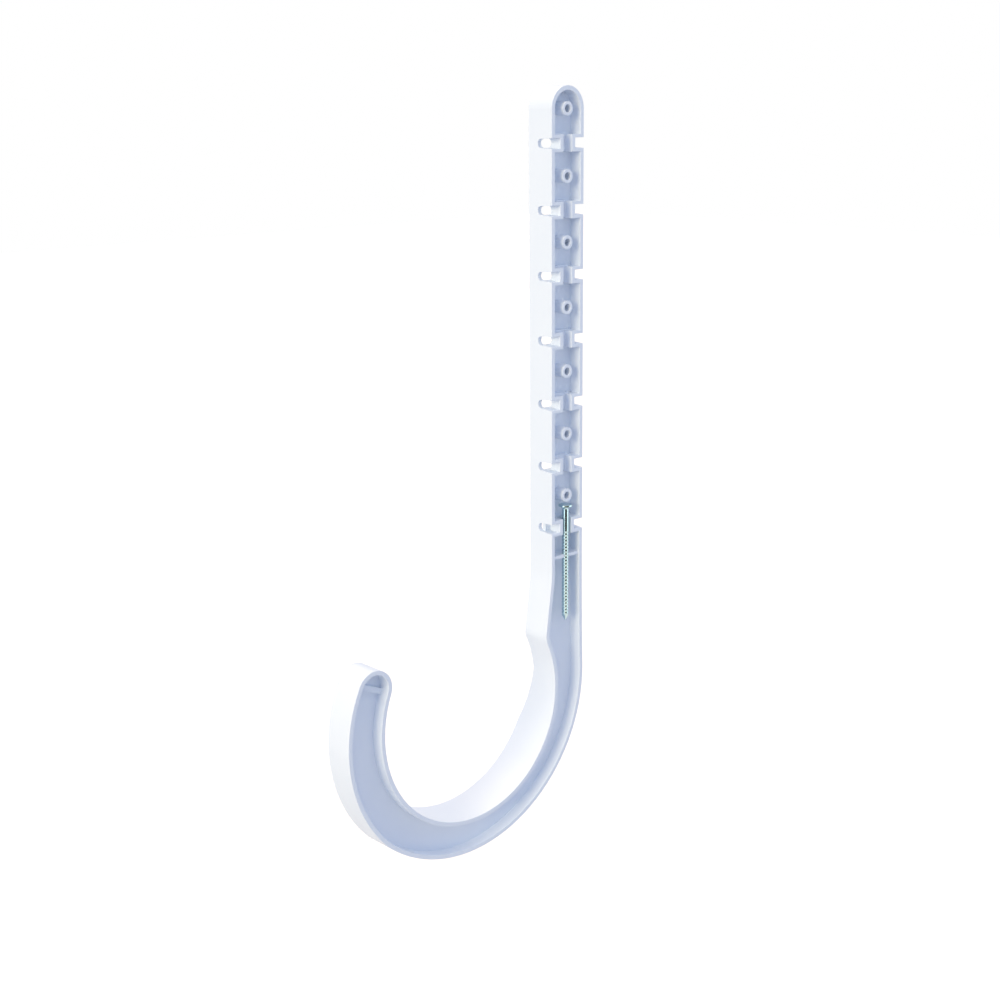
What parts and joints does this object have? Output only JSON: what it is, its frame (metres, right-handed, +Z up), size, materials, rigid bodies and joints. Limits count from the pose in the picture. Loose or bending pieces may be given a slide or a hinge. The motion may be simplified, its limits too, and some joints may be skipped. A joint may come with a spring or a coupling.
{
  "type": "drain pipe j-hook",
  "caption": "Moulded J-shaped hook that hangs a drain pipe from a joist: a ribbed strap with a row of nail bosses and side nail slots, a round pipe seat and a spare nail clipped inside.",
  "frame": {"origin": "axis of the top nail hole, halfway through the hook's depth", "axes": "+Z up along the shank, +Y through the nail holes from the open front to the back, the pipe seat reaches out towards -X"},
  "size_m": [0.1231, 0.0213, 0.3001],
  "materials": {
    "white_plastic": "smooth moulded plastic, satin",
    "zinc_steel": "bright zinc plating"
  },
  "bodies": {
    "root": {"hook_body": "white_plastic", "nail": "zinc_steel"}
  },
  "joints": []
}
